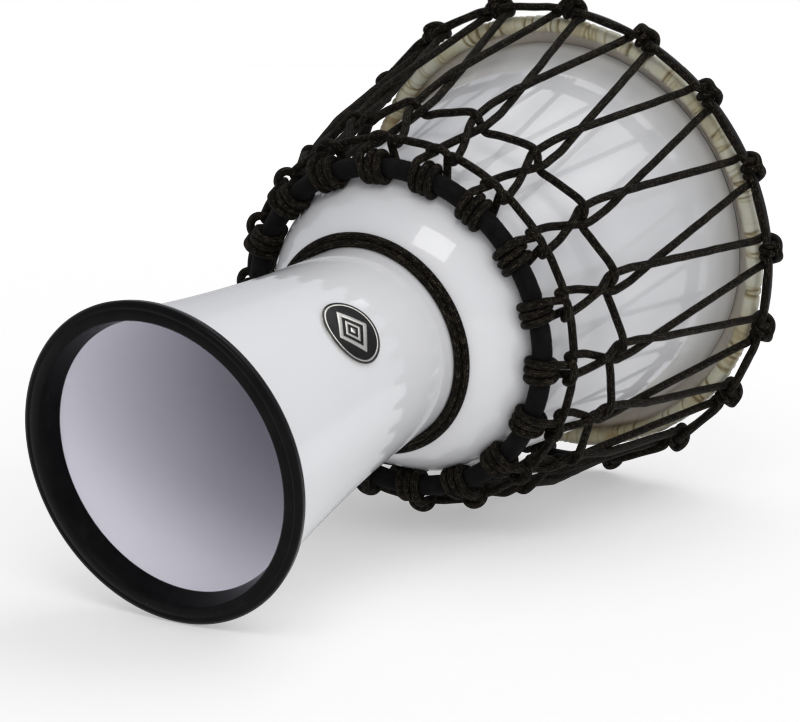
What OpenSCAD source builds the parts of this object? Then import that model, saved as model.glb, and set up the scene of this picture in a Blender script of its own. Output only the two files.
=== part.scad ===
// Rope-tuned goblet drum (djembe), standing on its foot: +Z runs up the drum's axis from the foot to
// the head, and the origin is the centre of the foot's resting face. The badge faces -Y.

/* [Shell] */
// Outer radius of the bowl at the bearing edge (a 7 inch head)
rim_r = 89; // [88:0.5:89.5]
// Height of the bearing edge above the floor
rim_z = 312; // [310:0.5:313]
// Outer radius of the bowl where its straight side begins
side_r = 68.5; // [68:0.25:69]
// Height at which the bowl's straight side begins
side_z = 182; // [180:1:184]
// Outer radius of the stem at the neck
neck_r = 42; // [41:0.5:43]
// Height of the neck, where bowl and stem meet
neck_z = 142; // [141:0.5:143]
// Outer radius of the stem at the foot
foot_r = 59; // [58.5:0.25:59.5]
// How far the stem's outline bows inwards between foot and neck
stem_bow = 2.9; // [2:0.1:4]
// Thickness of the moulded walls
wall = 2.6; // [2.2:0.1:3]

/* [Foot] */
// Outer radius of the rubber ring at its widest
foot_ring_r = 63; // [62:0.5:64]
// Height of the rubber ring's outer side
foot_ring_h = 8.8; // [8:0.2:10]
// Height of the rubber lip inside the stem
foot_lip_h = 10.4; // [9:0.2:12]

/* [Tuning hoop and crown] */
// Number of knots on the hoop, and on the crown
knots = 18; // [16:1:18]
// Turn of the first crown knot from the back of the drum
knot_phase = -2; // [-10:1:10]
// Radius of the tuning hoop's centre line
hoop_r = 69.7; // [69.5:0.1:69.9]
// Height of the tuning hoop
hoop_z = 163.6; // [163.4:0.1:163.8]
// Diameter of the hoop's steel
hoop_d = 6.4; // [5:0.2:6.6]
// Diameter of the hoop with its cloth
hoop_cloth_d = 7.7; // [7.5:0.1:7.8]
// Radius of the crown ring's centre line
crown_r = 107.2; // [107:0.1:107.4]
// Height of the crown ring
crown_z = 300.4; // [300.2:0.1:300.6]
// Diameter of the crown ring's steel
crown_d = 3; // [2.5:0.1:3]

/* [Head] */
// Radius of the flesh ring's centre line
flesh_r = 98; // [97.6:0.1:98]
// Height of the flesh ring
flesh_z = 303.6; // [303:0.1:304]
// Diameter of the flesh ring's steel
flesh_d = 4.8; // [4:0.2:5]
// Diameter of the skin roll round the flesh ring
roll_d = 7.6; // [7.2:0.1:7.6]
// Thickness of the skin
skin_t = 0.9; // [0.7:0.1:1]

/* [Rope] */
// Radius of the braided tuning rope
rope_r = 1.65; // [1.5:0.05:1.65]
// Radius of the cord round the neck
neck_cord_r = 1.45; // [1.3:0.05:1.5]

/* [Badge] */
// Width of the badge round the stem
badge_w = 27.5; // [24:0.5:32]
// Height of the badge
badge_h = 29; // [24:0.5:32]
// Height of the badge's centre
badge_z = 80; // [76:0.5:84]

/* [Hidden] */
$fn = 96;

// Clearance between rings, ropes and shell that only touch
gap = 0.3;
// Steps along each curved outline
steps = 12;

// ---- Outlines of the shell, as [radius, height] points ----

// The stem's outer radius: a straight flare that bows inwards between foot and neck
function stem_r(z) =
    let(u = z / neck_z) foot_r + (neck_r - foot_r) * u - 4 * stem_bow * u * (1 - u);
function stem_line(inset, z0, z1) =
    [for (i = [0:steps]) let(z = z0 + (z1 - z0) * i / steps) [stem_r(z) - inset, z]];

function unit(v) = v / norm(v);

// The round shoulder: an arc that leaves the neck and runs into the bowl's straight side
side_dir = unit([rim_r - side_r, rim_z - side_z]);
side_in = [-side_dir[1], side_dir[0]];
to_neck = [neck_r - side_r, neck_z - side_z];
shoulder_r = to_neck * to_neck / (2 * (to_neck * side_in));
shoulder_mid = [side_r, side_z] + shoulder_r * side_in;
shoulder_start = atan2(neck_z - shoulder_mid[1], neck_r - shoulder_mid[0]);
shoulder_end = atan2(side_z - shoulder_mid[1], side_r - shoulder_mid[0]);
function shoulder_arc(r, from, to) =
    [for (i = [0:steps]) let(a = from + (to - from) * i / steps)
        shoulder_mid + r * [cos(a), sin(a)]];

// The bowl's spigot, which sits inside the stem's mouth
spigot_r = neck_r - wall - 0.15;
throat_r = spigot_r - 2.3;
spigot_len = 10;

// ---- Rope: a tube swept along points, its section carried along without twist ----

rope_sides = 6;
function tangent(p, i) = unit(p[min(i + 1, len(p) - 1)] - p[max(i - 1, 0)]);
function square_to(v, t) = unit(v - t * (v * t));
function carried(p) =
    [for (i = 0, n = square_to([0.1, 0.2, 1], tangent(p, 0)); i < len(p);
        i = i + 1, n = i < len(p) ? square_to(n, tangent(p, i)) : n) n];

module rope(points, radii) {
    normals = carried(points);
    last = (len(points) - 1) * rope_sides;
    skin = [for (i = [0:len(points) - 1])
        let(t = tangent(points, i), n = normals[i], b = cross(t, n))
        for (k = [0:rope_sides - 1])
            points[i] + (is_list(radii) ? radii[i] : radii)
                * (cos(360 * k / rope_sides) * n + sin(360 * k / rope_sides) * b)];
    walls = [for (i = [0:len(points) - 2]) for (k = [0:rope_sides - 1])
        let(a = i * rope_sides + k, b = i * rope_sides + (k + 1) % rope_sides)
        for (f = [[a, b + rope_sides, b], [a, a + rope_sides, b + rope_sides]]) f];
    start_cap = [for (k = [0:rope_sides - 1]) k];
    end_cap = [for (k = [rope_sides - 1:-1:0]) last + k];
    polyhedron(points = skin, faces = concat(walls, [start_cap, end_cap]), convexity = 10);
}

// ---- Places in the rope work, as [round the drum, outwards from the ropes, along the ropes] ----

pitch = 360 / knots;
function crown_angle(k) = 90 + knot_phase + pitch * k;
function hoop_angle(k) = crown_angle(k + 0.5);

// The bars that the tension rope hooks round, as [radius, height]: on the hoop's rope and the crown's
hoop_bar = [79.6, 172];
crown_bar = [108.2, 296.7];
along = unit(crown_bar - hoop_bar);
outwards = [along[1], -along[0]];

function turned(a, s, place) =
    let(turn = a + s / place[0] * 180 / PI)
    [place[0] * cos(turn), place[0] * sin(turn), place[1]];
// From the hoop's bar, the distance along the ropes counts towards the crown
function at_hoop(a, q) = turned(a, q[0], hoop_bar + q[1] * outwards + q[2] * along);
// From the crown's bar, it counts towards the hoop
function at_crown(a, q) = turned(a, q[0], crown_bar + q[1] * outwards - q[2] * along);

// One hitch: from the bar to the ring, turns round it, and back over them to the bar.
// room is the free way from the ring's middle towards the bowl, where the rope is squeezed flatter,
// and each point's fourth number is the rope's radius there.
wrap_step = 2 * rope_r + 0.25;
wrap_gap = 0.55;
link_start = 8.5;
lift_span = 62;
exit_side = -0.9;
exit_back = -0.4;
function between(a, b) = abs(((a - b) % 360 + 540) % 360 - 180);
function hitch(centre, ring_r, wraps, bar_half, lift, arc, room, facing) =
    let(toward = atan2(-centre[1], -centre[0]),
        wrap_r = ring_r + rope_r + wrap_gap,
        spread = acos(wrap_r / norm(centre)),
        first = toward - spread,
        last = toward + spread - 360 * wraps,
        half = (first - last) / 360 * wrap_step / 2,
        count = ceil((first - last) / arc))
    concat(
        [[-link_start, 0, 0, rope_r], [-bar_half - 1.6, 0, 0, rope_r], [-bar_half, 0, -1.2, rope_r]],
        [for (i = [0:count])
            let(a = first + (last - first) * i / count,
                free = room + 0.0012 * pow(between(a, facing), 2),
                r = min(rope_r, (free - ring_r - 0.55) / 2),
                away = min(first - a, a - last),
                orbit = min(wrap_r + lift * max(0, 1 - away / lift_span), free - 0.3 - r))
            [half * (2 * i / count - 1), centre[0] + orbit * cos(a), centre[1] + orbit * sin(a), r]],
        [[bar_half, exit_side, exit_back, rope_r], [bar_half + 1.6, 0, 0, rope_r],
            [link_start, 0, 0, rope_r]]);

// Plain turns round the crown ring, which the rope otherwise runs along
turn_step = 2 * rope_r + 0.1;
function round_turns(centre, wrap_r, turns) =
    let(first = atan2(-centre[1], -centre[0]), half = turns * turn_step / 2, count = 8 * turns)
    concat([[-link_start, 0, 0], [-half - 1.2, 0, 0]],
        [for (i = [0:count]) let(a = first - 360 * turns * i / count)
            [half * (2 * i / count - 1), centre[0] + wrap_r * cos(a), centre[1] + wrap_r * sin(a)]],
        [[half + 1.2, 0, 0], [link_start, 0, 0]]);

hoop_seen = let(d = [hoop_r, hoop_z] - hoop_bar) [d * outwards, d * along];
crown_seen = let(d = [crown_r, crown_z] - crown_bar) [d * outwards, -d * along];
hoop_to_bowl = shoulder_mid - [hoop_r, hoop_z];
hoop_hitch = hitch(hoop_seen, hoop_cloth_d / 2, 3, 2.2, 2, 32, norm(hoop_to_bowl) - shoulder_r,
    atan2(hoop_to_bowl * along, hoop_to_bowl * outwards));
crown_hitch = round_turns(crown_seen, crown_d / 2 + rope_r + wrap_gap, 2);
function radii_of(one, times) =
    concat([rope_r], [for (k = [1:times]) for (q = one) q[3]], [rope_r]);

// A rope once round the drum, whose two ends meet end to end in the middle of its last stretch
function ring_of(points) =
    let(first = points[0], last = points[len(points) - 1],
        middle = (first + last) / 2, step = unit(first - last) * gap / 2)
    concat([middle + step], points, [middle - step]);

hoop_rope_way = ring_of([for (k = [0:knots - 1]) for (q = hoop_hitch) at_hoop(hoop_angle(k), q)]);
crown_rope_way = ring_of([for (k = [0:knots - 1]) for (q = crown_hitch) at_crown(crown_angle(k), q)]);

// The tension rope's bights: behind the bar, over the front of the hitch, and behind the bar again
hoop_bight = [[6.5, -3.7, 3], [7.25, -3.7, -0.4], [7.25, -1.9, -3.7], [5.4, 3.2, -4.95], [2.3, 5.2, -5]];
bight_side = 7;
bight_orbit = crown_d / 2 + rope_r + 0.5;
function round_crown(s, a) = [s, crown_seen[0] + bight_orbit * cos(a), crown_seen[1] + bight_orbit * sin(a)];
crown_bight = concat([[bight_side, -3.6, 3], [bight_side, -3.8, -0.4]],
    [for (i = [0:4]) round_crown(bight_side - 0.15 * i, 180 + 45 * i)],
    [[6.4, 4, 0.2], [5, 4.5, 2.3], [2.5, 4.3, 3.5], [0, 4.3, 3.7]]);
function mirrored(way) = [for (q = way) [-q[0], q[1], q[2]]];
function reversed(way) = [for (i = [len(way) - 1:-1:0]) way[i]];
function open_reversed(way) = [for (i = [len(way) - 1:-1:0]) if (way[i][0] != 0) way[i]];
hoop_turn = concat(mirrored(hoop_bight), open_reversed(hoop_bight));
crown_turn = concat(mirrored(crown_bight), open_reversed(crown_bight));

// The two strands over a hoop knot cross twice: well above the weave rope, and just below it
lower_cross = 18.5;
weave_t = 27;
upper_cross = 55;
over = rope_r + 0.2;
eye_half = 3.9;
left_strand = [[-3.3, -2.7, 10], [0, -over, lower_cross], [eye_half, 0, weave_t], [2.7, -0.9, 40],
    [0, -over, upper_cross]];
right_strand = [[3.3, -1.2, 10], [0, over, lower_cross], [-eye_half, 0, weave_t], [-2.7, 0.9, 40],
    [0, over, upper_cross]];

tension_way = ring_of([for (k = [0:knots - 1]) each concat(
    [for (q = crown_turn) at_crown(crown_angle(k), q)],
    [for (q = reversed(left_strand)) at_hoop(hoop_angle(k), q)],
    [for (q = hoop_turn) at_hoop(hoop_angle(k), q)],
    [for (q = right_strand) at_hoop(hoop_angle(k), q)])]);

// The weave rope goes over one strand and under the other at every knot
weave_side = [[-8.5, 1.8, weave_t + 1.4], [-eye_half, 3.8, weave_t + 1.1], [-1, 2.4, weave_t + 0.6],
    [1, -2.7, weave_t], [eye_half, -4.4, weave_t - 0.6], [8.5, -1.8, weave_t - 1.2]];
weave_way = ring_of([for (k = [0:knots - 1]) for (q = weave_side) at_hoop(hoop_angle(k), q)]);

// ---- Neck cord: two turns that rest in the corner between stem and shoulder ----

cord_orbit = shoulder_r + neck_cord_r + 0.05;
cord_mid_r = neck_r + neck_cord_r + 0.05;
cord_first = acos((cord_mid_r - shoulder_mid[0]) / cord_orbit);
cord_turns = [for (i = [0:1])
    let(a = -cord_first + i * (2 * neck_cord_r + 0.05) / cord_orbit * 180 / PI)
    shoulder_mid + cord_orbit * [cos(a), sin(a)]];

// ---- Shared shapes ----

module ring(r, z, d) {
    rotate_extrude()
        translate([r, z])
            circle(d = d, $fn = 32);
}

// A tube over the place where a rope's two ends meet, thicker than the rope by its wall
sleeve_len = 9;
sleeve_wall = 0.5;
module sleeve(way, r) {
    first = way[0];
    last = way[len(way) - 1];
    dir = unit(first - last);
    translate((first + last) / 2)
        rotate([0, acos(dir[2]), atan2(dir[1], dir[0])])
            difference() {
                cylinder(h = sleeve_len, r = r + sleeve_wall, center = true);
                cylinder(h = sleeve_len + 1, r = r + 0.08, center = true);
            }
}

// A band that follows the stem's surface between two distances from it, cut to an oval
module on_stem(low, high, size) {
    intersection() {
        rotate_extrude()
            polygon(concat(stem_line(-high, badge_z - badge_h, badge_z + badge_h),
                reversed(stem_line(-low, badge_z - badge_h, badge_z + badge_h))));
        translate([0, 0, badge_z])
            rotate([90, 0, 0])
                linear_extrude(height = foot_r + 5)
                    polygon([for (a = [0:7.5:352.5])
                        [size * badge_w / 2 * cos(a), size * badge_h / 2 * sin(a)]]);
    }
}

// ---- Sub-parts ----

// Flared stem, open right through
module stem_shell() {
    color("white")
        rotate_extrude()
            polygon(concat(stem_line(0, 2, neck_z - 0.1),
                reversed(stem_line(wall, 2, neck_z - 0.1))));
}

// Bowl with its round shoulder, its bearing edge and the spigot that joins it to the stem
module bowl_shell() {
    inner_r = shoulder_r - wall;
    inner_start = -acos((throat_r - shoulder_mid[0]) / inner_r);
    color("white")
        rotate_extrude()
            polygon(concat(
                [[spigot_r, neck_z - spigot_len], [spigot_r, neck_z]],
                shoulder_arc(shoulder_r, shoulder_start, shoulder_end),
                [[rim_r, rim_z - 1.2], [rim_r - 0.4, rim_z - 0.3], [rim_r - 1.2, rim_z],
                    [rim_r - wall, rim_z - 0.8]],
                shoulder_arc(inner_r, shoulder_end, inner_start),
                [[throat_r, neck_z - spigot_len]]));
}

// Rubber ring over the stem's end: flat underneath, rounded outside, with a lip inside
module foot_ring() {
    corner = 2;
    color([0.05, 0.05, 0.05])
        rotate_extrude()
            polygon(concat(
                [[foot_r - wall - 0.7, 0]],
                [for (a = [-90:15:0])
                    [foot_ring_r - corner + corner * cos(a), corner + corner * sin(a)]],
                [[foot_ring_r - 0.6, foot_ring_h * 0.5],
                    [stem_r(foot_ring_h) + 1.1, foot_ring_h - 0.3],
                    [stem_r(foot_ring_h) + 0.6, foot_ring_h],
                    [stem_r(foot_ring_h) + 0.1, foot_ring_h - 0.2],
                    [stem_r(1.9) + 0.1, 1.9], [stem_r(1.9) - wall - 0.1, 1.9],
                    [stem_r(foot_lip_h) - wall - 0.1, foot_lip_h],
                    [stem_r(foot_lip_h) - wall - 0.9, foot_lip_h - 0.3]]));
}

// Two turns of cord that cover the seam at the neck
module neck_cord() {
    color([0.08, 0.08, 0.08])
        for (c = cord_turns)
            ring(c[0], c[1], 2 * neck_cord_r);
}

// Steel hoop below the bowl's widest part
module tuning_hoop() {
    color("silver")
        ring(hoop_r, hoop_z, hoop_d);
}

// Cloth tube sewn round the hoop
module hoop_cloth() {
    color([0.1, 0.1, 0.1])
        rotate_extrude()
            translate([hoop_r, hoop_z])
                difference() {
                    circle(d = hoop_cloth_d, $fn = 32);
                    circle(d = hoop_d + 0.1, $fn = 32);
                }
}

// Rope hitched round the hoop, with a bar over every hitch
module hoop_rope() {
    color([0.12, 0.11, 0.09])
        rope(hoop_rope_way, radii_of(hoop_hitch, knots));
}

// Rope that runs up and down between hoop and crown
module tension_rope() {
    color([0.12, 0.11, 0.09])
        rope(tension_way, rope_r);
}

// Rope woven once round the drum through the crossed strands
module weave_rope() {
    color([0.12, 0.11, 0.09])
        rope(weave_way, rope_r);
}

// Shrunk sleeves over the joined ends of the ropes on the shell
module rope_sleeves() {
    color([0.06, 0.06, 0.06]) {
        sleeve(hoop_rope_way, rope_r);
        sleeve(tension_way, rope_r);
        sleeve(weave_way, rope_r);
    }
}

// Steel ring that presses on the skin roll
module crown_ring() {
    color([0.1, 0.1, 0.1])
        ring(crown_r, crown_z, crown_d);
}

// Rope that runs along the crown ring and turns round it at every knot
module crown_rope() {
    color([0.12, 0.11, 0.09])
        rope(crown_rope_way, rope_r);
}

// Shrunk sleeve over the joined ends of the crown's rope
module crown_sleeve() {
    color([0.06, 0.06, 0.06])
        sleeve(crown_rope_way, rope_r);
}

// Steel ring inside the skin roll
module flesh_ring() {
    color("silver")
        ring(flesh_r, flesh_z, flesh_d);
}

// Goatskin: stretched over the bearing edge and rolled round the flesh ring
module drum_skin() {
    low = rim_z + 0.1;
    edge = rim_r + 0.6;
    color([0.87, 0.82, 0.7])
        rotate_extrude()
            difference() {
                union() {
                    polygon([[0, low], [rim_r - 0.6, low], [edge - 0.2, low - 0.7],
                        [flesh_r - 1.6, flesh_z + roll_d / 2 - 1], [flesh_r, flesh_z + roll_d / 2 - 0.3],
                        [flesh_r - 1, flesh_z + roll_d / 2], [edge + 0.9, low + skin_t - 1],
                        [edge - 0.4, low + skin_t], [0, low + skin_t]]);
                    translate([flesh_r, flesh_z])
                        circle(d = roll_d, $fn = 32);
                }
                translate([flesh_r, flesh_z])
                    circle(d = flesh_d + 2 * gap, $fn = 32);
            }
}

// Curved metal back of the badge
module badge_plate() {
    color("silver")
        on_stem(0.05, 0.7, 1);
}

// Raised bright rim of the badge
module badge_rim() {
    color("silver")
        difference() {
            on_stem(0.7, 1.3, 1);
            on_stem(0.5, 1.5, 0.87);
        }
}

// Dark enamel in the badge
module badge_inlay() {
    color([0.03, 0.03, 0.03])
        on_stem(0.7, 1.05, 0.85);
}

stem_shell();
bowl_shell();
foot_ring();
neck_cord();
tuning_hoop();
hoop_cloth();
hoop_rope();
tension_rope();
weave_rope();
rope_sleeves();
crown_ring();
crown_rope();
crown_sleeve();
flesh_ring();
drum_skin();
badge_plate();
badge_rim();
badge_inlay();
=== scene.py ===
"""A rope-tuned goblet drum that lies on its side on a pale floor, seen from the foot end."""

import math

import bpy
import numpy as np
from mathutils import Matrix, Vector


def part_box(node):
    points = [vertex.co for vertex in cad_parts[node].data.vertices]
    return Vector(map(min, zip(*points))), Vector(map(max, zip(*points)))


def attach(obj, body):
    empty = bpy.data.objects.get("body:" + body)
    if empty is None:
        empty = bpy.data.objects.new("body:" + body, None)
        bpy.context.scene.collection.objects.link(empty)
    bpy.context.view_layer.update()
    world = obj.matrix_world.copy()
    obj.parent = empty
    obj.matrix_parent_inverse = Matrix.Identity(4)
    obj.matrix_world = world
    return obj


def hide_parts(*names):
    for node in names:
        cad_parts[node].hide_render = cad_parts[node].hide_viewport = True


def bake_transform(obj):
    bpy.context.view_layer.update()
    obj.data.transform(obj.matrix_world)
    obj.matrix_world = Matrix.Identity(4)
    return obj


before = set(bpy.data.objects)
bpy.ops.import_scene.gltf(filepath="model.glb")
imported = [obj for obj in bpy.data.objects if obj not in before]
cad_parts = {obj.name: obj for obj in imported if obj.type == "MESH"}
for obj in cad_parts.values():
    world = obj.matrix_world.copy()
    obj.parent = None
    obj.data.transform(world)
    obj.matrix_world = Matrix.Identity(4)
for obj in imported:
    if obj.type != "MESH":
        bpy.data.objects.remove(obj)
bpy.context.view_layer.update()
rng = np.random.default_rng(7)
MM = 0.001

# ---------------------------------------------------------------- dimensions, in millimetres

RIM_R, RIM_Z = 89.0, 312.0
SIDE_R, SIDE_Z = 68.5, 182.0
NECK_R, NECK_Z = 42.0, 142.0
FOOT_R, STEM_BOW, WALL = 59.0, 2.9, 2.6
SPIGOT_LENGTH = 10.0
KNOTS, KNOT_PHASE, ROPE_R = 18, -2.0, 1.65
PITCH = 360 / KNOTS
BADGE_W, BADGE_H, BADGE_Z = 27.5, 29.0, 80.0
SKIN = 0.9
# The visual ropes' radius over ROPE_R, and how far and over what length a rope strays from its route
ROPE_SWELL = 1.06
DRIFT, DRIFT_LENGTH = 0.055, 2.5


def ring_place(node):
    """Radius to the middle, height and half thickness of a ring that is a CAD node, in millimetres."""
    low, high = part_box(node)
    half = (high.z - low.z) / 2
    return (high.x - half) / MM, (high.z + low.z) / 2 / MM, half / MM


HOOP_R, HOOP_Z, CLOTH_R = ring_place("hoop_cloth")
CROWN_R, CROWN_Z, CROWN_HALF = ring_place("crown_ring")
FLESH_R, FLESH_Z, _ = ring_place("flesh_ring")
FOOT_RING_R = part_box("foot_ring")[1].x / MM
FOOT_RING_TOP = 8.8
FOOT_LIP_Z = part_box("foot_ring")[1].z / MM


def unit(v):
    v = np.asarray(v, float)
    return v / np.linalg.norm(v)


def stem_r(z):
    u = z / NECK_Z
    return FOOT_R + (NECK_R - FOOT_R) * u - 4 * STEM_BOW * u * (1 - u)


SIDE_DIR = unit([RIM_R - SIDE_R, RIM_Z - SIDE_Z])
SIDE_IN = np.array([-SIDE_DIR[1], SIDE_DIR[0]])
TO_NECK = np.array([NECK_R - SIDE_R, NECK_Z - SIDE_Z])
SHOULDER_R = TO_NECK @ TO_NECK / (2 * (TO_NECK @ SIDE_IN))
SHOULDER_MID = np.array([SIDE_R, SIDE_Z]) + SHOULDER_R * SIDE_IN


def on_arc(r, a):
    return SHOULDER_MID + r * np.array([math.cos(a), math.sin(a)])


def shoulder_arc(r, start, end, steps=40):
    return [tuple(on_arc(r, a)) for a in np.linspace(start, end, steps)]


SHOULDER_START = math.atan2(NECK_Z - SHOULDER_MID[1], NECK_R - SHOULDER_MID[0])
SHOULDER_END = math.atan2(SIDE_Z - SHOULDER_MID[1], SIDE_R - SHOULDER_MID[0])

# ---------------------------------------------------------------- mesh helpers


def mesh_object(name, points, faces, uvs=None, smooth_angle=32):
    """points in millimetres; uvs holds one pair for each corner of each face."""
    mesh = bpy.data.meshes.new(name)
    mesh.from_pydata([tuple(p) for p in np.asarray(points, float) * MM], [], faces)
    if uvs is not None:
        layer = mesh.uv_layers.new(name="UVMap")
        layer.data.foreach_set("uv", np.asarray(uvs, np.float32).ravel())
    mesh.polygons.foreach_set("use_smooth", [True] * len(mesh.polygons))
    mesh.set_sharp_from_angle(angle=math.radians(smooth_angle))
    mesh.update()
    obj = bpy.data.objects.new(name, mesh)
    bpy.context.scene.collection.objects.link(obj)
    return obj


def lathe(name, outline, segments=240, smooth_angle=32, inner_from=None):
    """Turns a closed outline of (radius, height) points round Z. From inner_from on, it is the inside."""
    n = len(outline)
    points = []
    for k in range(segments):
        a = 2 * math.pi * k / segments
        points += [(r * math.cos(a), r * math.sin(a), z) for r, z in outline]
    faces = []
    for k in range(segments):
        here, there = k * n, (k + 1) % segments * n
        for i in range(n):
            j = (i + 1) % n
            faces.append((here + i, there + i, there + j, here + j))
    obj = mesh_object(name, points, faces, smooth_angle=smooth_angle)
    if inner_from is not None:
        inside = [i >= inner_from for _ in range(segments) for i in range(n)]
        obj.data.polygons.foreach_set("material_index", np.array(inside, np.int32))
    return obj


def tube(name, line, radii, sides):
    """A closed tube round a closed line, with U once round the section and V the length in millimetres."""
    line = np.asarray(line, float)
    n = len(line)
    tangents = np.roll(line, -1, 0) - np.roll(line, 1, 0)
    tangents /= np.linalg.norm(tangents, axis=1)[:, None]
    normal = unit(np.cross(tangents[0], [0.3, 0.2, 1.0]))
    normals = np.zeros((n, 3))
    for i in range(n):
        normal = unit(normal - tangents[i] * (normal @ tangents[i]))
        normals[i] = normal
    first, again = normals[0], unit(normal - tangents[0] * (normal @ tangents[0]))
    slip = math.atan2(np.cross(first, again) @ tangents[0], first @ again)
    around = np.linspace(0, 2 * math.pi, sides, endpoint=False)
    sideways = np.cross(tangents, normals)
    turn = -slip * np.arange(n) / n
    angles = around[None, :] + turn[:, None]
    radii = np.broadcast_to(radii, (n,))
    away = np.cos(angles)[..., None] * normals[:, None, :] + np.sin(angles)[..., None] * sideways[:, None, :]
    points = (line[:, None, :] + radii[:, None, None] * away).reshape(-1, 3)
    lengths = np.r_[0, np.cumsum(np.linalg.norm(np.roll(line, -1, 0) - line, axis=1))]
    faces, uvs = [], []
    for i in range(n):
        j = (i + 1) % n
        for k in range(sides):
            m = (k + 1) % sides
            faces.append((i * sides + k, i * sides + m, j * sides + m, j * sides + k))
            u0, u1 = k / sides, (k + 1) / sides
            uvs += [(u0, lengths[i]), (u1, lengths[i]), (u1, lengths[i + 1]), (u0, lengths[i + 1])]
    return mesh_object(name, points, faces, uvs, smooth_angle=60)


def eased(values, spacing, length):
    """A closed run of rows, smoothed over a length."""
    frequency = np.fft.rfftfreq(len(values), d=spacing)
    keep = np.exp(-2 * (math.pi * frequency * length) ** 2)
    return np.fft.irfft(np.fft.rfft(values, axis=0) * keep[:, None], n=len(values), axis=0)


def circle(r, z, steps):
    around = np.linspace(0, 2 * math.pi, steps, endpoint=False)
    return np.column_stack([r * np.cos(around), r * np.sin(around), np.full(steps, z)])


def settled(points, radii, step=0.8, soften=1.05):
    """A closed rope route through corner points, with eased bends, and the rope's radius at each place."""
    fine_step = 0.25
    points = np.vstack([points, points[:1]])
    radii = np.r_[radii, radii[0]]
    at = np.r_[0, np.cumsum(np.linalg.norm(np.diff(points, axis=0), axis=1))]
    count = int(at[-1] / fine_step)
    where = np.linspace(0, at[-1], count, endpoint=False)
    columns = [np.interp(where, at, points[:, i]) for i in range(3)] + [np.interp(where, at, radii)]
    dense = eased(np.column_stack(columns), at[-1] / count, soften)
    drift = eased(rng.normal(0, 1, (count, 3)), at[-1] / count, DRIFT_LENGTH)
    dense[:, :3] += DRIFT * drift / drift.std()
    every = max(1, round(step / fine_step))
    dense = dense[: count // every * every : every]
    return dense[:, :3], dense[:, 3]


# ---------------------------------------------------------------- materials


def shader(name, **values):
    m = bpy.data.materials.new(name)
    m.use_nodes = True
    surface = m.node_tree.nodes["Principled BSDF"]
    for socket, value in values.items():
        surface.inputs[socket.replace("_", " ")].default_value = value
    return m, surface


def add(m, kind, inputs=None, **settings):
    n = m.node_tree.nodes.new("ShaderNode" + kind)
    for key, value in settings.items():
        setattr(n, key, value)
    for key, value in (inputs or {}).items():
        if isinstance(value, bpy.types.NodeSocket):
            m.node_tree.links.new(value, n.inputs[key])
        else:
            n.inputs[key].default_value = value
    return n


def calc(m, operation, *values):
    return add(m, "Math", dict(enumerate(values)), operation=operation).outputs[0]


def ramp(m, factor, *stops):
    """stops are (position, grey or colour)."""
    n = add(m, "ValToRGB", {"Fac": factor})
    elements = n.color_ramp.elements
    while len(elements) < len(stops):
        elements.new(0.5)
    for e, (position, colour) in zip(elements, stops):
        e.position = position
        e.color = (*colour, 1) if hasattr(colour, "__len__") else (colour, colour, colour, 1)
    return n.outputs["Color"]


def noise(m, scale, detail=2.0, roughness=0.5):
    inputs = {"Vector": add(m, "TexCoord").outputs["Object"], "Scale": scale, "Detail": detail}
    return add(m, "TexNoise", {**inputs, "Roughness": roughness}).outputs["Fac"]


def join(m, output, surface, socket):
    m.node_tree.links.new(output, surface.inputs[socket])


def mixed(m, share, first, second, blend="MIX"):
    """first and second are colour outputs or colours."""
    ends = {k: v if isinstance(v, bpy.types.NodeSocket) else (*v, 1) for k, v in ((6, first), (7, second))}
    return add(m, "Mix", {"Factor": share, **ends}, data_type="RGBA", blend_type=blend).outputs[2]


def bumped(m, surface, height, distance, strength=1.0):
    n = add(m, "Bump", {"Height": height, "Distance": distance, "Strength": strength})
    join(m, n.outputs["Normal"], surface, "Normal")


def paint(obj, m):
    obj.data.materials.clear()
    obj.data.materials.append(m)
    return obj


def gloss_white(name, tint, coat=1.0, shadow_gap_heights=None):
    """Gel coat; a dark line of painted shadow runs under the bearing edge, standing for the shade in the gap
    where the skin meets the shell, between the two heights given for it, in metres.
    """
    m, s = shader(name, Roughness=0.38, Coat_Weight=coat, Coat_Roughness=0.045, Specular_IOR_Level=0.4)
    patch = noise(m, 14.0, 3.0)
    colour = ramp(m, patch, (0.3, [c * 0.975 for c in tint]), (0.7, tint))
    if shadow_gap_heights:
        # Painted shadow: a thin dark bluish line below the rim, where the skin meets the shell
        height = add(m, "SeparateXYZ", {"Vector": add(m, "TexCoord").outputs["Object"]}).outputs["Z"]
        line = calc(m, "COMPARE", height, sum(shadow_gap_heights) / 2, (shadow_gap_heights[1] - shadow_gap_heights[0]) / 2)
        colour = mixed(m, line, colour, (0.045, 0.045, 0.085))
    join(m, colour, s, "Base Color")
    ripple = noise(m, 55.0, 1.0)
    grain = noise(m, 620.0, 2.0)
    bumped(m, s, calc(m, "MULTIPLY_ADD", grain, 0.12, ripple), 0.00035, 0.16)
    return m


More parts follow.
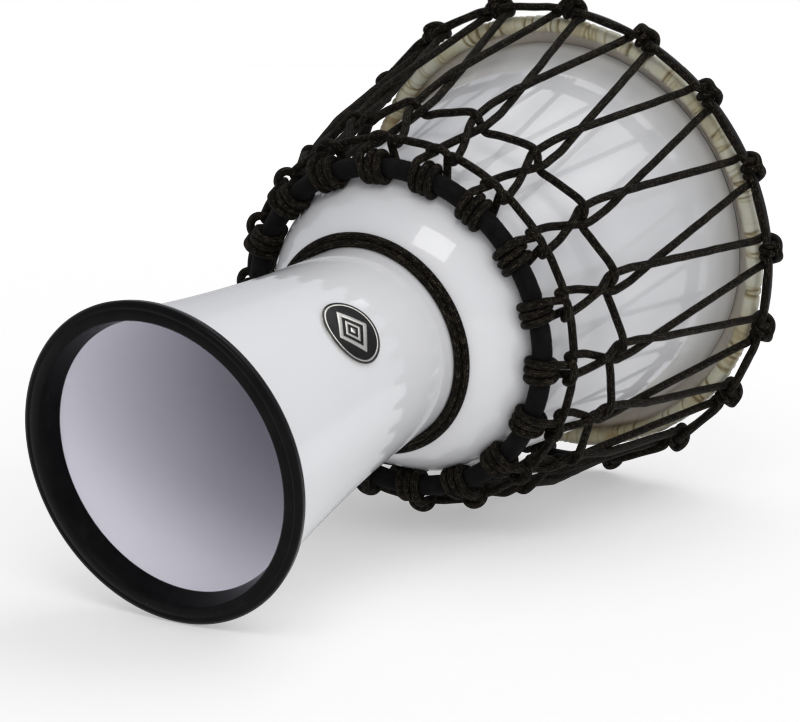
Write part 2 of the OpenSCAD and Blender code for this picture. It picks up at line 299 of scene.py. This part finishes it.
def braided(name, columns=12.0, tick=0.95):
    """Plaited cord: columns of slanting ticks, each column leaning the other way from its neighbours."""
    dark, fleck_and_highlight = (0.0020, 0.0018, 0.0015), (0.100, 0.082, 0.055)
    m, s = shader(name, Roughness=0.55, Specular_IOR_Level=0.06)
    uv = add(m, "SeparateXYZ", {"Vector": add(m, "UVMap", uv_map="UVMap").outputs["UV"]})
    across = calc(m, "MULTIPLY", uv.outputs["X"], columns)
    column = calc(m, "FLOOR", across)
    inside = calc(m, "SUBTRACT", across, column)
    lean = calc(m, "MULTIPLY_ADD", calc(m, "MODULO", column, 2.0), 2.0, -1.0)
    along = calc(m, "MULTIPLY", uv.outputs["Y"], 1 / tick)
    slant = calc(m, "MULTIPLY", lean, calc(m, "SUBTRACT", inside, 0.5))
    place = calc(m, "MULTIPLY_ADD", slant, 0.9, along)
    which = calc(m, "FLOOR", place)
    share = calc(m, "SUBTRACT", place, which)
    strand = calc(m, "SINE", calc(m, "MULTIPLY", share, math.pi))
    body = calc(m, "POWER", calc(m, "SINE", calc(m, "MULTIPLY", inside, math.pi)), 0.6)
    height = calc(m, "MULTIPLY", calc(m, "POWER", strand, 0.7), body)
    cell = add(m, "CombineXYZ", {"X": column, "Y": which})
    chance = add(m, "TexWhiteNoise", {"Vector": cell.outputs[0]}, noise_dimensions="3D").outputs["Value"]
    bright = calc(m, "MULTIPLY_ADD", calc(m, "POWER", chance, 2.2), 1.0, 0.10)
    # Brown flecks on the strands' crowns: partly the fibres' own fleck, partly painted highlight that
    # lightens the strand tops and leaves the valleys between strands dark
    fleck_and_highlight_share = calc(m, "MULTIPLY", bright, calc(m, "POWER", height, 2.4))
    join(m, mixed(m, fleck_and_highlight_share, dark, fleck_and_highlight), s, "Base Color")
    bumped(m, s, height, 0.0006, 1.0)
    return m


def rubber(name):
    m, s = shader(name, Specular_IOR_Level=0.07)
    scuff = noise(m, 90.0, 5.0, 0.65)
    colour = ramp(m, scuff, (0.3, (0.0025, 0.0025, 0.0027)), (0.8, (0.006, 0.006, 0.0063)))
    join(m, colour, s, "Base Color")
    join(m, ramp(m, scuff, (0.25, 0.18), (0.8, 0.32)), s, "Roughness")
    bumped(m, s, noise(m, 1400.0, 2.0), 0.0001, 0.25)
    return m


def sewn_cloth(name):
    m, s = shader(
        name, Roughness=0.85, Sheen_Weight=0.015, Sheen_Roughness=0.4, Specular_IOR_Level=0.08
    )
    threads, thread_length = 44, 0.55
    uv = add(m, "SeparateXYZ", {"Vector": add(m, "UVMap", uv_map="UVMap").outputs["UV"]})
    warp = calc(m, "SINE", calc(m, "MULTIPLY", uv.outputs["X"], 2 * math.pi * threads))
    weft = calc(m, "SINE", calc(m, "MULTIPLY", uv.outputs["Y"], 2 * math.pi / thread_length))
    weave = calc(m, "MULTIPLY", warp, weft)
    tone = calc(m, "MULTIPLY_ADD", weave, 0.12, noise(m, 260.0, 3.0))
    colour = ramp(m, tone, (0.3, (0.003, 0.0029, 0.0028)), (0.75, (0.008, 0.0075, 0.007)))
    join(m, colour, s, "Base Color")
    bumped(m, s, weave, 0.00016, 0.5)
    return m


def black_coat(name, roughness):
    m, s = shader(name, Roughness=roughness, Specular_IOR_Level=0.25)
    mottle = noise(m, 300.0, 3.0)
    join(m, ramp(m, mottle, (0.3, 0.0035), (0.75, 0.009)), s, "Base Color")
    bumped(m, s, noise(m, 1600.0, 2.0), 0.0001, 0.3)
    return m


def zinc(name, colour, rough_low, rough_high):
    m, s = shader(name, Metallic=1.0)
    wear = noise(m, 180.0, 4.0)
    join(m, ramp(m, wear, (0.3, [c * 0.85 for c in colour]), (0.7, colour)), s, "Base Color")
    join(m, ramp(m, wear, (0.3, rough_high), (0.7, rough_low)), s, "Roughness")
    return m


def goatskin(name):
    """Goatskin: pale where it is taut, greener and stained where rolled; painted shade darkens the pleats'
    folds and lays a brown band along the roll's edge.
    """
    m, s = shader(name, Roughness=0.30, Specular_IOR_Level=0.55)
    s.inputs["Subsurface Weight"].default_value = 0.12
    s.inputs["Subsurface Radius"].default_value = (0.003, 0.002, 0.001)
    s.inputs["Subsurface Scale"].default_value = 1.0
    patch = noise(m, 26.0, 5.0, 0.6)
    taut = ramp(m, patch, (0.35, (0.66, 0.645, 0.60)), (0.7, (0.60, 0.575, 0.50)))
    rolled = ramp(
        m,
        patch,
        (0.36, (0.62, 0.61, 0.50)),
        (0.48, (0.55, 0.53, 0.38)),
        (0.58, (0.44, 0.38, 0.22)),
        (0.68, (0.30, 0.19, 0.08)),
    )
    roll = add(m, "Attribute", attribute_name="roll").outputs["Fac"]
    base = mixed(m, roll, taut, rolled)
    fold = add(m, "Attribute", attribute_name="fold").outputs["Fac"]
    # Painted shade: the skin darkens towards the bottom of each pleat, by how deep the fold is
    fold_shade = ramp(m, fold, (0.0, (0.38, 0.30, 0.18)), (0.45, (0.78, 0.72, 0.58)), (0.85, (1.0, 1.0, 1.0)))
    base = mixed(m, 1.0, base, fold_shade, "MULTIPLY")
    # Painted shade: a brown band along the roll's edges, where the skin tucks under, broken up by noise
    brown = (0.40, 0.30, 0.16)
    edge = ramp(m, roll, (0.12, (1, 1, 1)), (0.35, brown), (0.55, (0.75, 0.68, 0.5)), (0.9, (1, 1, 1)))
    ragged = ramp(m, noise(m, 60.0, 4.0), (0.35, 0.15), (0.6, 1.0))
    base = mixed(m, ragged, base, edge, "MULTIPLY")
    join(m, base, s, "Base Color")
    fibre = noise(m, 900.0, 4.0, 0.65)
    pore = noise(m, 170.0, 3.0)
    bumped(m, s, calc(m, "MULTIPLY_ADD", fibre, 0.4, pore), 0.0003, 0.5)
    return m


def enamel(name):
    m, s = shader(name, Roughness=0.4, Coat_Weight=0.05, Coat_Roughness=0.08, Specular_IOR_Level=0.12)
    speck = noise(m, 500.0, 2.0)
    join(m, ramp(m, speck, (0.3, 0.004), (0.8, 0.008)), s, "Base Color")
    return m


GEL_COAT = (0.69, 0.69, 0.69)
WHITE = gloss_white("gloss_white", GEL_COAT)
# The bowl's gel coat carries the painted shadow line under the bearing edge
BOWL_WHITE = gloss_white("gloss_white_bowl", GEL_COAT, shadow_gap_heights=((RIM_Z - 2.6) * MM, (RIM_Z - 1.9) * MM))
# Painted light: the bore gets a paler, lavender copy of the gel coat, brightened and tinted for the shade
# inside the stem
INSIDE_PAINTED_LIGHT = gloss_white("inside_white_painted_light", (0.76, 0.75, 0.81), coat=0.2)
ROPE = braided("braided_rope")
NECK_CORD = braided("braided_neck_cord", columns=10.0, tick=1.1)
RUBBER = rubber("foot_rubber")
CLOTH = sewn_cloth("hoop_cloth")
COAT = black_coat("ring_black", 0.35)
SLEEVE = black_coat("sleeve_plastic", 0.5)
ZINC = zinc("ring_steel", (0.62, 0.62, 0.64), 0.28, 0.42)
NICKEL = zinc("badge_metal", (0.80, 0.78, 0.72), 0.12, 0.24)
DARK_NICKEL = zinc("badge_rim_metal", (0.10, 0.10, 0.10), 0.2, 0.35)
ENAMEL = enamel("badge_enamel")
HIDE = goatskin("goatskin")

# ---------------------------------------------------------------- shell and foot

stem_top = NECK_Z - 0.1
heights = np.linspace(2, stem_top, 60)
stem = lathe(
    "Stem",
    [(stem_r(z), z) for z in heights]
    + [(stem_r(stem_top) - WALL, stem_top)]
    + [(stem_r(z) - WALL, z) for z in heights[::-1][1:]],
    inner_from=len(heights),
)
spigot_r = NECK_R - WALL - 0.15
throat_r = spigot_r - 2.3
inner_r = SHOULDER_R - WALL
inner_start = -math.acos((throat_r - SHOULDER_MID[0]) / inner_r)
lip = [(RIM_R - 0.15, RIM_Z - 0.7), (RIM_R - 0.5, RIM_Z - 0.25), (RIM_R - 1.2, RIM_Z)]
lip.append((RIM_R - WALL, RIM_Z - 0.8))
side_out, side_up = RIM_R - SIDE_R, RIM_Z - SIDE_Z
bowl = lathe(
    "Bowl",
    [(spigot_r, NECK_Z - SPIGOT_LENGTH), (spigot_r, NECK_Z)]
    + shoulder_arc(SHOULDER_R, SHOULDER_START, SHOULDER_END, 60)
    + [(SIDE_R + side_out * t, SIDE_Z + (side_up - 1.2) * t) for t in np.linspace(0.06, 1, 16)]
    + lip
    + [(lip[-1][0] - 20.4 * t, lip[-1][1] - (side_up - 0.8) * t) for t in np.linspace(0.06, 0.96, 12)]
    + shoulder_arc(inner_r, SHOULDER_END, inner_start, 50)
    + [(throat_r, NECK_Z - SPIGOT_LENGTH)],
    segments=288,
    inner_from=2 + 60 + 16 + len(lip),
)
for shell_piece, node_name, white in ((stem, "stem_shell", WHITE), (bowl, "bowl_shell", BOWL_WHITE)):
    shell_piece.data.materials.append(white)
    shell_piece.data.materials.append(INSIDE_PAINTED_LIGHT)
    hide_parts(node_name)
    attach(shell_piece, "shell")

corner = 2.0
seat_z = 1.9
foot_in, lip_in = FOOT_R - WALL, stem_r(FOOT_LIP_Z) - WALL
foot_outline = [(foot_in - 0.7, 0.5), (foot_in - 0.35, 0.1), (foot_in + 0.1, 0.0), (59.6, 0.0)]
# A fine groove round the resting face
foot_outline += [(59.95, 0.25), (60.25, 0.25), (60.55, 0.0), (61.0, 0.0)]
for a in np.radians(np.arange(-80, 1, 10)):
    foot_outline.append((FOOT_RING_R - corner + corner * math.cos(a), corner + corner * math.sin(a)))
top_r, top_z = stem_r(FOOT_RING_TOP), FOOT_RING_TOP
foot_outline += [(FOOT_RING_R - 0.25, top_z * 0.33), (FOOT_RING_R - 0.6, top_z * 0.5)]
foot_outline += [(top_r + 1.35, top_z - 0.75), (top_r + 1.1, top_z - 0.3), (top_r + 0.6, top_z)]
foot_outline.append((top_r + 0.1, top_z - 0.2))
foot_outline += [(stem_r(seat_z) + 0.1, seat_z), (stem_r(seat_z) - WALL - 0.1, seat_z)]
foot_outline += [(lip_in - 0.1, FOOT_LIP_Z), (lip_in - 0.5, FOOT_LIP_Z), (lip_in - 0.9, FOOT_LIP_Z - 0.3)]
foot = paint(lathe("Foot_ring", foot_outline, smooth_angle=50), RUBBER)
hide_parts("foot_ring")
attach(foot, "shell")

# ---------------------------------------------------------------- rope work

HOOP_BAR, CROWN_BAR = np.array([79.6, 172.0]), np.array([108.2, 296.7])
ALONG = unit(CROWN_BAR - HOOP_BAR)
OUTWARDS = np.array([ALONG[1], -ALONG[0]])


def turned(angle, s, place):
    turn = math.radians(angle) + s / place[0]
    return [place[0] * math.cos(turn), place[0] * math.sin(turn), place[1]]


def at_hoop(angle, q):
    return turned(angle, q[0], HOOP_BAR + q[1] * OUTWARDS + q[2] * ALONG)


def at_crown(angle, q):
    return turned(angle, q[0], CROWN_BAR + q[1] * OUTWARDS - q[2] * ALONG)


def crown_angle(k):
    return 90 + KNOT_PHASE + PITCH * k


def hoop_angle(k):
    return crown_angle(k + 0.5)


WRAP_STEP, WRAP_GAP, LINK_START, LIFT_SPAN = 3.75, 0.3, 8.5, 62.0
TURN_STEP = 3.5


def hitch(centre, ring_r, wraps, bar_half, lift, room, facing):
    """One hitch: from the bar to the ring, round it, and back over the turns; rows end with the radius."""
    toward = math.degrees(math.atan2(-centre[1], -centre[0]))
    wrap_r = ring_r + ROPE_R + WRAP_GAP
    spread = math.degrees(math.acos(wrap_r / np.linalg.norm(centre)))
    first, last = toward - spread, toward + spread - 360 * wraps
    half = (first - last) / 360 * WRAP_STEP / 2
    count = math.ceil((first - last) / 16)
    out = [[-LINK_START, 0, 0, ROPE_R], [-bar_half - 1.6, 0, 0, ROPE_R], [-bar_half, 0, -1.0, ROPE_R]]
    for i in range(count + 1):
        a = first + (last - first) * i / count
        off = abs((a - facing + 180) % 360 - 180)
        free = room + 0.0012 * off**2
        r = min(ROPE_R, (free - ring_r - 0.55) / 2)
        away = min(first - a, a - last)
        orbit = min(wrap_r + lift * max(0, 1 - away / LIFT_SPAN), free - 0.3 - r)
        a = math.radians(a)
        s = half * (2 * i / count - 1)
        out.append([s, centre[0] + orbit * math.cos(a), centre[1] + orbit * math.sin(a), r])
    return out + [[bar_half, -0.9, -0.4, ROPE_R], [bar_half + 1.6, 0, 0, ROPE_R], [LINK_START, 0, 0, ROPE_R]]


def round_turns(centre, wrap_r, turns):
    """Plain turns round the crown ring."""
    first = math.atan2(-centre[1], -centre[0])
    half, count = turns * TURN_STEP / 2, 16 * turns
    out = [[-LINK_START, 0, 0, ROPE_R], [-half - 1.2, 0, 0, ROPE_R]]
    for i in range(count + 1):
        a = first - 2 * math.pi * turns * i / count
        s = half * (2 * i / count - 1)
        out.append([s, centre[0] + wrap_r * math.cos(a), centre[1] + wrap_r * math.sin(a), ROPE_R])
    return out + [[half + 1.2, 0, 0, ROPE_R], [LINK_START, 0, 0, ROPE_R]]


def along_ropes(place, bar, sign):
    d = np.array(place) - bar
    return np.array([d @ OUTWARDS, sign * (d @ ALONG)])


to_bowl = SHOULDER_MID - np.array([HOOP_R, HOOP_Z])
hoop_hitch = hitch(
    along_ropes((HOOP_R, HOOP_Z), HOOP_BAR, 1),
    ring_r=CLOTH_R,
    wraps=3,
    bar_half=2.2,
    lift=2,
    room=np.linalg.norm(to_bowl) - SHOULDER_R,
    facing=math.degrees(math.atan2(to_bowl @ ALONG, to_bowl @ OUTWARDS)),
)
crown_seen = along_ropes((CROWN_R, CROWN_Z), CROWN_BAR, -1)
crown_hitch = round_turns(crown_seen, wrap_r=CROWN_HALF + ROPE_R - 0.35, turns=2)

hoop_bight = [[4.7, -2.8, 3.4], [5.3, -2.9, 0.4], [5.4, -1.4, -2.6]]
hoop_bight += [[4.4, 1.8, -3.3], [2.3, 3.1, -3.3], [0, 3.5, -3.2]]
# Behind the link, up past the ring's inner side, and in an arch over the turns
crown_bight = [[6.2, -3.0, 3.4], [6.3, -3.3, 0.2]]
# How far to the side, at what angle and how far out from the ring the arch runs
crown_arch = [(6.1, 195, 3.3), (5.7, 235, 3.5), (4.9, 280, 4.0)]
crown_arch += [(3.6, 320, 4.5), (1.9, 348, 4.9), (0, 360, 5.0)]
for side, angle, away in crown_arch:
    a = math.radians(angle)
    crown_bight.append([side, crown_seen[0] + away * math.cos(a), crown_seen[1] + away * math.sin(a)])
LOWER_CROSS, WEAVE_T, UPPER_CROSS = 18.5, 27.0, 55.0
OVER, EYE = ROPE_R + 0.1, 3.5
left_strand = [[-3.3, -2.7, 10], [0, -OVER, LOWER_CROSS], [EYE, 0, WEAVE_T]]
left_strand += [[2.7, -0.9, 40], [0, -OVER, UPPER_CROSS]]
right_strand = [[3.3, -1.2, 10], [0, OVER, LOWER_CROSS], [-EYE, 0, WEAVE_T]]
right_strand += [[-2.7, 0.9, 40], [0, OVER, UPPER_CROSS]]
weave_side = [
    [-8.5, 1.4, WEAVE_T + 1.2],
    [-EYE, 3.2, WEAVE_T + 0.9],
    [-1, 1.8, WEAVE_T + 0.5],
    [1, -2.1, WEAVE_T],
    [EYE, -3.6, WEAVE_T - 0.5],
    [8.5, -1.4, WEAVE_T - 1.0],
]


def there_and_back(bight):
    return [[-q[0], *q[1:]] for q in bight] + [q for q in reversed(bight) if q[0]]


def round_drum(place_of, angle_of, corners, radius=None):
    """The same corners at every knot; each corner ends with its radius, unless one is given for all."""
    return [(place_of(angle_of(k), q), radius or q[3]) for k in range(KNOTS) for q in corners]


def rope_piece(name, node_name, places, soften=1.05, sides=12):
    points = np.array([p for p, _ in places])
    radii = np.array([r for _, r in places])
    line, radii = settled(points, radii, soften=soften)
    obj = paint(tube(name, line, radii * ROPE_SWELL, sides), ROPE)
    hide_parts(node_name)
    return obj


hoop_places = round_drum(at_hoop, hoop_angle, hoop_hitch)
hoop_rope = rope_piece("Hoop_rope", "hoop_rope", hoop_places, soften=0.8)
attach(hoop_rope, "shell")
weave_places = round_drum(at_hoop, hoop_angle, weave_side, ROPE_R)
weave_rope = rope_piece("Weave_rope", "weave_rope", weave_places, soften=1.6)
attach(weave_rope, "shell")
crown_places = round_drum(at_crown, crown_angle, crown_hitch)
crown_rope = rope_piece("Crown_rope", "crown_rope", crown_places, soften=0.8)
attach(crown_rope, "crown")
tension_places = []
for k in range(KNOTS):
    tension_places += [(at_crown(crown_angle(k), q), ROPE_R) for q in there_and_back(crown_bight)]
    tension_places += [(at_hoop(hoop_angle(k), q), ROPE_R) for q in reversed(left_strand)]
    tension_places += [(at_hoop(hoop_angle(k), q), ROPE_R) for q in there_and_back(hoop_bight)]
    tension_places += [(at_hoop(hoop_angle(k), q), ROPE_R) for q in right_strand]
tension_rope = rope_piece("Tension_rope", "tension_rope", tension_places, soften=1.1)
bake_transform(tension_rope)

cord_r = 1.6
cord_orbit = SHOULDER_R + cord_r + 0.05
cord_first = math.acos((NECK_R + cord_r + 0.05 - SHOULDER_MID[0]) / cord_orbit)
cord_turns = []
for i in range(2):
    a = -cord_first + i * (2 * cord_r - 0.05) / cord_orbit
    r, z = on_arc(cord_orbit, a)
    cord_turns.append(tube(f"Neck_cord_{i + 1}", circle(r, z, 360), cord_r, 16))
for piece in cord_turns:
    paint(piece, NECK_CORD)
    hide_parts("neck_cord")
    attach(piece, "shell")

# ---------------------------------------------------------------- hoop cloth, puckered at every hitch

steps = 1440
around = np.linspace(0, 2 * math.pi, steps, endpoint=False)
from_knot = (np.degrees(around) - hoop_angle(0) + PITCH / 2) % PITCH - PITCH / 2
between = np.clip((np.abs(from_knot) * math.radians(1) * HOOP_R - 4.5) / 2.2, 0, 1)
waves = sum(
    rng.uniform(0.02, 0.05) * np.sin(n * around + rng.uniform(0, 6.28)) for n in (36, 54, 71, 90, 143, 211)
)
cloth_radii = CLOTH_R - 0.05 + between * (0.42 + 0.4 * waves)
cloth = tube("Hoop_cloth", circle(HOOP_R, HOOP_Z, steps), cloth_radii, 28)
paint(cloth, CLOTH)
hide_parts("hoop_cloth")
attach(cloth, "shell")

# ---------------------------------------------------------------- skin: head, apron and roll

roll_r, roll_mid, roll_z = 3.8, FLESH_R + 0.6, FLESH_Z + 0.2
top = RIM_Z + 0.1 + SKIN
head = [(r, top) for r in (0.02, 20, 40, 60, 75, 84, 87.5)]
head += [(88.9, top - 0.12), (90.0, top - 0.55), (91.2, top - 1.25), (93.4, top - 2.9), (95.4, top - 4.4)]
roll_angles = np.radians(np.arange(112, -200, -8))
roll = [(roll_mid + roll_r * math.cos(a), roll_z + roll_r * math.sin(a)) for a in roll_angles]
under = [(94.2, top - 4.9), (92.6, top - 3.6), (90.6, top - 2.15), (89.5, top - 1.4), (88.9, top - 1.0)]
under += [(88.0, RIM_Z + 0.1)]
under += [(r, RIM_Z + 0.1) for r in (80, 60, 40, 20, 0.02)]
outline = head + roll + under
roll_from, roll_to = len(head), len(head) + len(roll)
segments = 1440
pleats = 230
pleat_at = np.sort(rng.uniform(0, 2 * math.pi, pleats))
pleat_deep = rng.uniform(0.2, 1.0, pleats) ** 1.2
pleat_wide = rng.uniform(0.004, 0.010, pleats)
pleat_lean = rng.uniform(-0.015, 0.015, pleats)


def folds(angle, across):
    """How deep the pleats are at an angle; across runs from 0 at the apron to 1 at the end of the roll."""
    d = (angle + pleat_lean * across * 3 - pleat_at + math.pi) % (2 * math.pi) - math.pi
    return float((pleat_deep * np.exp(-((d / pleat_wide) ** 2))).sum())


skin_around = np.linspace(0, 2 * math.pi, segments, endpoint=False)
swell = sum(rng.uniform(0.03, 0.08) * np.sin(n * skin_around + rng.uniform(0, 6.28)) for n in (7, 13, 29, 47))
deepest = 0.75
points, fold_of, roll_of = [], [], []
for k in range(segments):
    a = 2 * math.pi * k / segments
    for i, (r, z) in enumerate(outline):
        depth = 0.0
        if roll_from - 4 <= i < roll_to + 3:
            across = min(1.0, max(0.0, (i - roll_from) / (roll_to - roll_from)))
            ease = min(1.0, max(0.0, (i - (roll_from - 4)) / 6), max(0.0, (roll_to + 3 - i) / 6))
            depth = min(1.0, folds(a, across)) * ease
            out = unit([r - roll_mid, z - roll_z])
            push = (-0.62 * depth + swell[k] * 0.9) * ease
            push = max(push, -deepest)
            r, z = r + push * out[0], z + push * out[1]
        points.append((r * math.cos(a), r * math.sin(a), z))
        fold_of.append(1.0 - depth)
        roll_of.append(float(np.clip(min(i - roll_from + 1, roll_to + 1 - i) / 5, 0, 1)))
n = len(outline)
faces = []
for k in range(segments):
    here, there = k * n, (k + 1) % segments * n
    faces += [(here + i, there + i, there + i + 1, here + i + 1) for i in range(n - 1)]
skin = mesh_object("Skin", points, faces, smooth_angle=70)
for attribute, values in (("fold", fold_of), ("roll", roll_of)):
    layer = skin.data.attributes.new(attribute, "FLOAT", "POINT")
    layer.data.foreach_set("value", np.array(values, np.float32))
paint(skin, HIDE)
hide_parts("drum_skin")
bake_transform(skin)

# ---------------------------------------------------------------- badge: a plate, a rim and plain lozenges


def on_stem(u, v, lift):
    z = BADGE_Z + v
    r = stem_r(z)
    a = -math.pi / 2 + u / r
    return ((r + lift) * math.cos(a), (r + lift) * math.sin(a), z)


def oval(scale, count=96):
    half_w, half_h = scale * BADGE_W / 2, scale * BADGE_H / 2
    angles = np.linspace(0, 2 * math.pi, count, endpoint=False)
    return [(half_w * math.cos(a), half_h * math.sin(a)) for a in angles]


def lozenge(width, height, side=12):
    corners = [(width / 2, 0), (0, height / 2), (-width / 2, 0), (0, -height / 2)]
    out = []
    for (x0, y0), (x1, y1) in zip(corners, corners[1:] + corners[:1]):
        out += [(x0 + (x1 - x0) * t / side, y0 + (y1 - y0) * t / side) for t in range(side)]
    return out


def strip(name, rows):
    """A closed band from rows of (outline, lift); each row goes once round, and the last joins the first."""
    n = len(rows[0][0])
    points = [on_stem(u, v, lift) for line, lift in rows for u, v in line]
    faces = []
    for j in range(len(rows)):
        k = (j + 1) % len(rows)
        faces += [(j * n + i, j * n + (i + 1) % n, k * n + (i + 1) % n, k * n + i) for i in range(n)]
    return mesh_object(name, points, faces, smooth_angle=40)


def oval_strip(name, *rows):
    """A strip from rows of (share of the badge's size, lift)."""
    return strip(name, [(oval(scale), lift) for scale, lift in rows])


plate_under = ((0.01, 0.06), (0.5, 0.06), (0.985, 0.06), (1.0, 0.2))
plate_over = ((1.0, 0.55), (0.985, 0.7), (0.5, 0.7), (0.01, 0.7))
plate = oval_strip("Badge_plate", *plate_under, *plate_over)
rim_out = ((0.995, 0.7), (1.0, 0.85), (0.998, 1.12), (0.99, 1.26))
rim_in = ((0.98, 1.3), (0.968, 1.22), (0.962, 1.0), (0.96, 0.7))
rim = oval_strip("Badge_rim", *rim_out, *rim_in)
inlay_under = ((0.01, 0.71), (0.5, 0.71), (0.955, 0.71))
inlay_over = ((0.955, 0.95), (0.945, 1.04), (0.5, 1.05), (0.01, 1.05))
inlay = oval_strip("Badge_inlay", *inlay_under, *inlay_over)
line_out = ((0.932, 1.06), (0.932, 1.16), (0.925, 1.2))
line_in = ((0.892, 1.2), (0.885, 1.16), (0.885, 1.06))
line_ring = oval_strip("Badge_line", *line_out, *line_in)
marks = []
# Width and height over each lozenge, and twice its line's width
for i, (w, h, band) in enumerate(((19.0, 20.5, 5.2), (9.6, 10.4, 3.0))):
    rows = [(lozenge(w, h), 1.06), (lozenge(w, h), 1.16), (lozenge(w - band / 2, h - band / 2), 1.2)]
    rows += [(lozenge(w - band, h - band), 1.16), (lozenge(w - band, h - band), 1.06)]
    marks.append(strip(f"Badge_lozenge_{i}", rows))
middle = strip(
    "Badge_middle",
    [(lozenge(3.0, 3.3), 1.06), (lozenge(3.0, 3.3), 1.16), (lozenge(2.4, 2.7), 1.22)]
    + [(lozenge(0.02, 0.02), 1.22), (lozenge(0.02, 0.02), 1.06)],
)
badge_parts = [(plate, NICKEL, "badge_metal"), (rim, DARK_NICKEL, "badge_metal")]
badge_parts += [(inlay, ENAMEL, "badge_enamel")]
badge_parts += [(p, NICKEL, "badge_metal") for p in (line_ring, *marks, middle)]
for piece, m, slot in badge_parts:
    paint(piece, m)
    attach(piece, "shell")
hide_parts("badge_plate")
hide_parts("badge_rim")
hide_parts("badge_inlay")

# ---------------------------------------------------------------- CAD nodes that stay

for node_name, m in {
    "tuning_hoop": ZINC,
    "flesh_ring": ZINC,
    "crown_ring": COAT,
    "rope_sleeves": SLEEVE,
    "crown_sleeve": SLEEVE,
}.items():
    paint(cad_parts[node_name], m)

# ---------------------------------------------------------------- camera and floor: the drum lies on its side

# It rests on its foot ring and on the knots of its crown
resting_side = math.radians(39)
head_low, head_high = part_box("tension_rope")
head_r = max(head_high.x, -head_low.x, head_high.y, -head_low.y)
foot_r = FOOT_RING_R * MM
head_z = CROWN_Z * MM
lean = math.atan2(head_r - foot_r, head_z)
side = Vector((math.cos(resting_side), math.sin(resting_side), 0))
up = (-side * math.cos(lean) + Vector((0, 0, 1)) * math.sin(lean)).normalized()
touch = side * foot_r

camera_azimuth, camera_elevation, camera_roll = math.radians(7.83), math.radians(-51.79), math.radians(-59.06)
aim = Vector((0.0123, 0.0021, 0.1555))
distance = 1.0328
forward = Vector(
    (
        -math.sin(camera_azimuth) * math.cos(camera_elevation),
        math.cos(camera_azimuth) * math.cos(camera_elevation),
        -math.sin(camera_elevation),
    )
)
level_right = forward.cross(Vector((0, 0, 1))).normalized()
level_up = level_right.cross(forward)
camera_up = level_up * math.cos(camera_roll) + level_right * math.sin(camera_roll)
camera_right = forward.cross(camera_up)
camera = bpy.data.objects.new("Camera", bpy.data.cameras.new("Camera"))
bpy.context.scene.collection.objects.link(camera)
camera_turn = Matrix((camera_right, camera_up, -forward)).transposed().to_4x4()
camera.matrix_world = Matrix.Translation(aim - forward * distance) @ camera_turn
camera.data.sensor_width = 36
camera.data.lens = 112.33
camera.data.clip_start, camera.data.clip_end = 0.05, 20
bpy.context.scene.camera = camera

floor_right = (camera_right - up * camera_right.dot(up)).normalized()
floor_away = up.cross(floor_right)
middle_of_drum = Vector((0, 0, 0.155))
half_floor = 3.0
across, along = floor_right * half_floor, floor_away * half_floor
corners = [touch + across * x + along * y for x, y in ((-1, -1), (1, -1), (1, 1), (-1, 1))]
floor = mesh_object("Floor", [c / MM for c in corners], [(0, 1, 2, 3)])
floor_material, s = shader("pale_floor", Roughness=0.7, Emission_Strength=0.27)
s.inputs["Emission Color"].default_value = (1, 1, 1, 1)
floor_patch = noise(floor_material, 3.0, 3.0)
floor_colour = ramp(floor_material, floor_patch, (0.3, (0.65, 0.65, 0.66)), (0.7, (0.68, 0.68, 0.685)))
join(floor_material, floor_colour, s, "Base Color")
paint(floor, floor_material)
floor.is_shadow_catcher = True


def softbox(name, right, away, height, width, length, watts, colour=(1, 1, 1)):
    """An area light at a place beside, behind and above the drum, as the camera sees it, in metres."""
    data = bpy.data.lights.new(name, "AREA")
    data.shape = "RECTANGLE"
    data.size, data.size_y = width, length
    data.energy = watts
    data.color = colour
    light = bpy.data.objects.new(name, data)
    bpy.context.scene.collection.objects.link(light)
    light.location = middle_of_drum + floor_right * right + floor_away * away + up * height
    light.rotation_mode = "QUATERNION"
    light.rotation_quaternion = (middle_of_drum - light.location).to_track_quat("-Z", "Y")
    return light


softbox("Key", -0.13, -0.94, 1.04, 0.62, 0.45, 3.4, (1.0, 0.99, 0.975))
softbox("Overhead", 0.6, 0.4, 1.15, 1.5, 1.0, 5.5)
front = softbox("Front", 0.45, -1.2, 0.4, 1.4, 1.0, 6.0, (0.985, 0.99, 1.0))
front.visible_glossy = False
softbox("Backdrop", 0.5, 1.5, 0.35, 2.6, 0.9, 1.0, (0.98, 0.985, 1.0))
softbox("Fill_right", 1.3, -0.4, 0.5, 0.9, 0.9, 1.2, (0.97, 0.98, 1.0))

world = bpy.data.worlds.new("Studio")
bpy.context.scene.world = world
world.use_nodes = True
tree = world.node_tree
background = tree.nodes["Background"]
background.inputs["Color"].default_value = (0.93, 0.94, 1.0, 1)
background.inputs["Strength"].default_value = 0.54
seen = tree.nodes.new("ShaderNodeBackground")
seen.inputs["Color"].default_value = (1, 1, 1, 1)
seen.inputs["Strength"].default_value = 1.0
mixer = tree.nodes.new("ShaderNodeMixShader")
path = tree.nodes.new("ShaderNodeLightPath")
tree.links.new(path.outputs["Is Camera Ray"], mixer.inputs["Fac"])
tree.links.new(background.outputs[0], mixer.inputs[1])
tree.links.new(seen.outputs[0], mixer.inputs[2])
tree.links.new(mixer.outputs[0], tree.nodes["World Output"].inputs["Surface"])
bpy.context.scene.view_settings.view_transform = "Standard"
